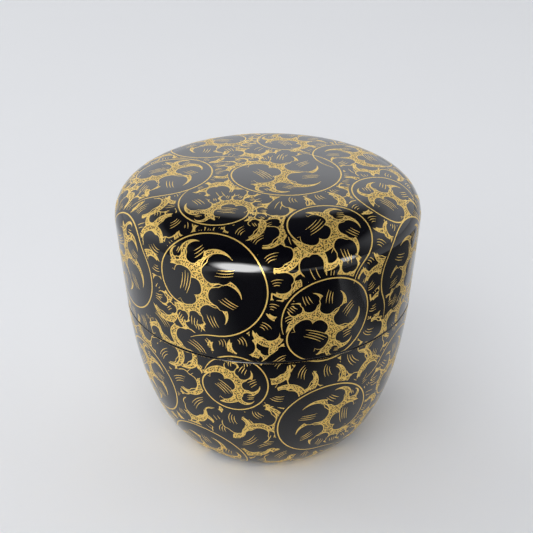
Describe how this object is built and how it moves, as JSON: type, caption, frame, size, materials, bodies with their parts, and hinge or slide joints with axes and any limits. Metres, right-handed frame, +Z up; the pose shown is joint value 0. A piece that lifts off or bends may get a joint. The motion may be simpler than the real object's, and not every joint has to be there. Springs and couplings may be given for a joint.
{
  "type": "lacquer tea caddy",
  "caption": "Round turned tea caddy in gloss black lacquer: a deep lid with a rounded shoulder over a bowl-shaped body that narrows to a small foot, with flush gold scrollwork all over.",
  "frame": {"origin": "centre of the underside, on the surface that the caddy stands on", "axes": "+Z up along the axis that both pieces are turned on; -Y towards the viewer of the picture, +X to the viewer's right"},
  "size_m": [0.066, 0.066, 0.064],
  "materials": {
    "black_lacquer": "thin turned wood under polished gloss black lacquer, decorated flush with the surface in gold scrollwork"
  },
  "bodies": {
    "root": {"caddy_body": "black_lacquer", "caddy_lid": "black_lacquer"}
  },
  "joints": []
}
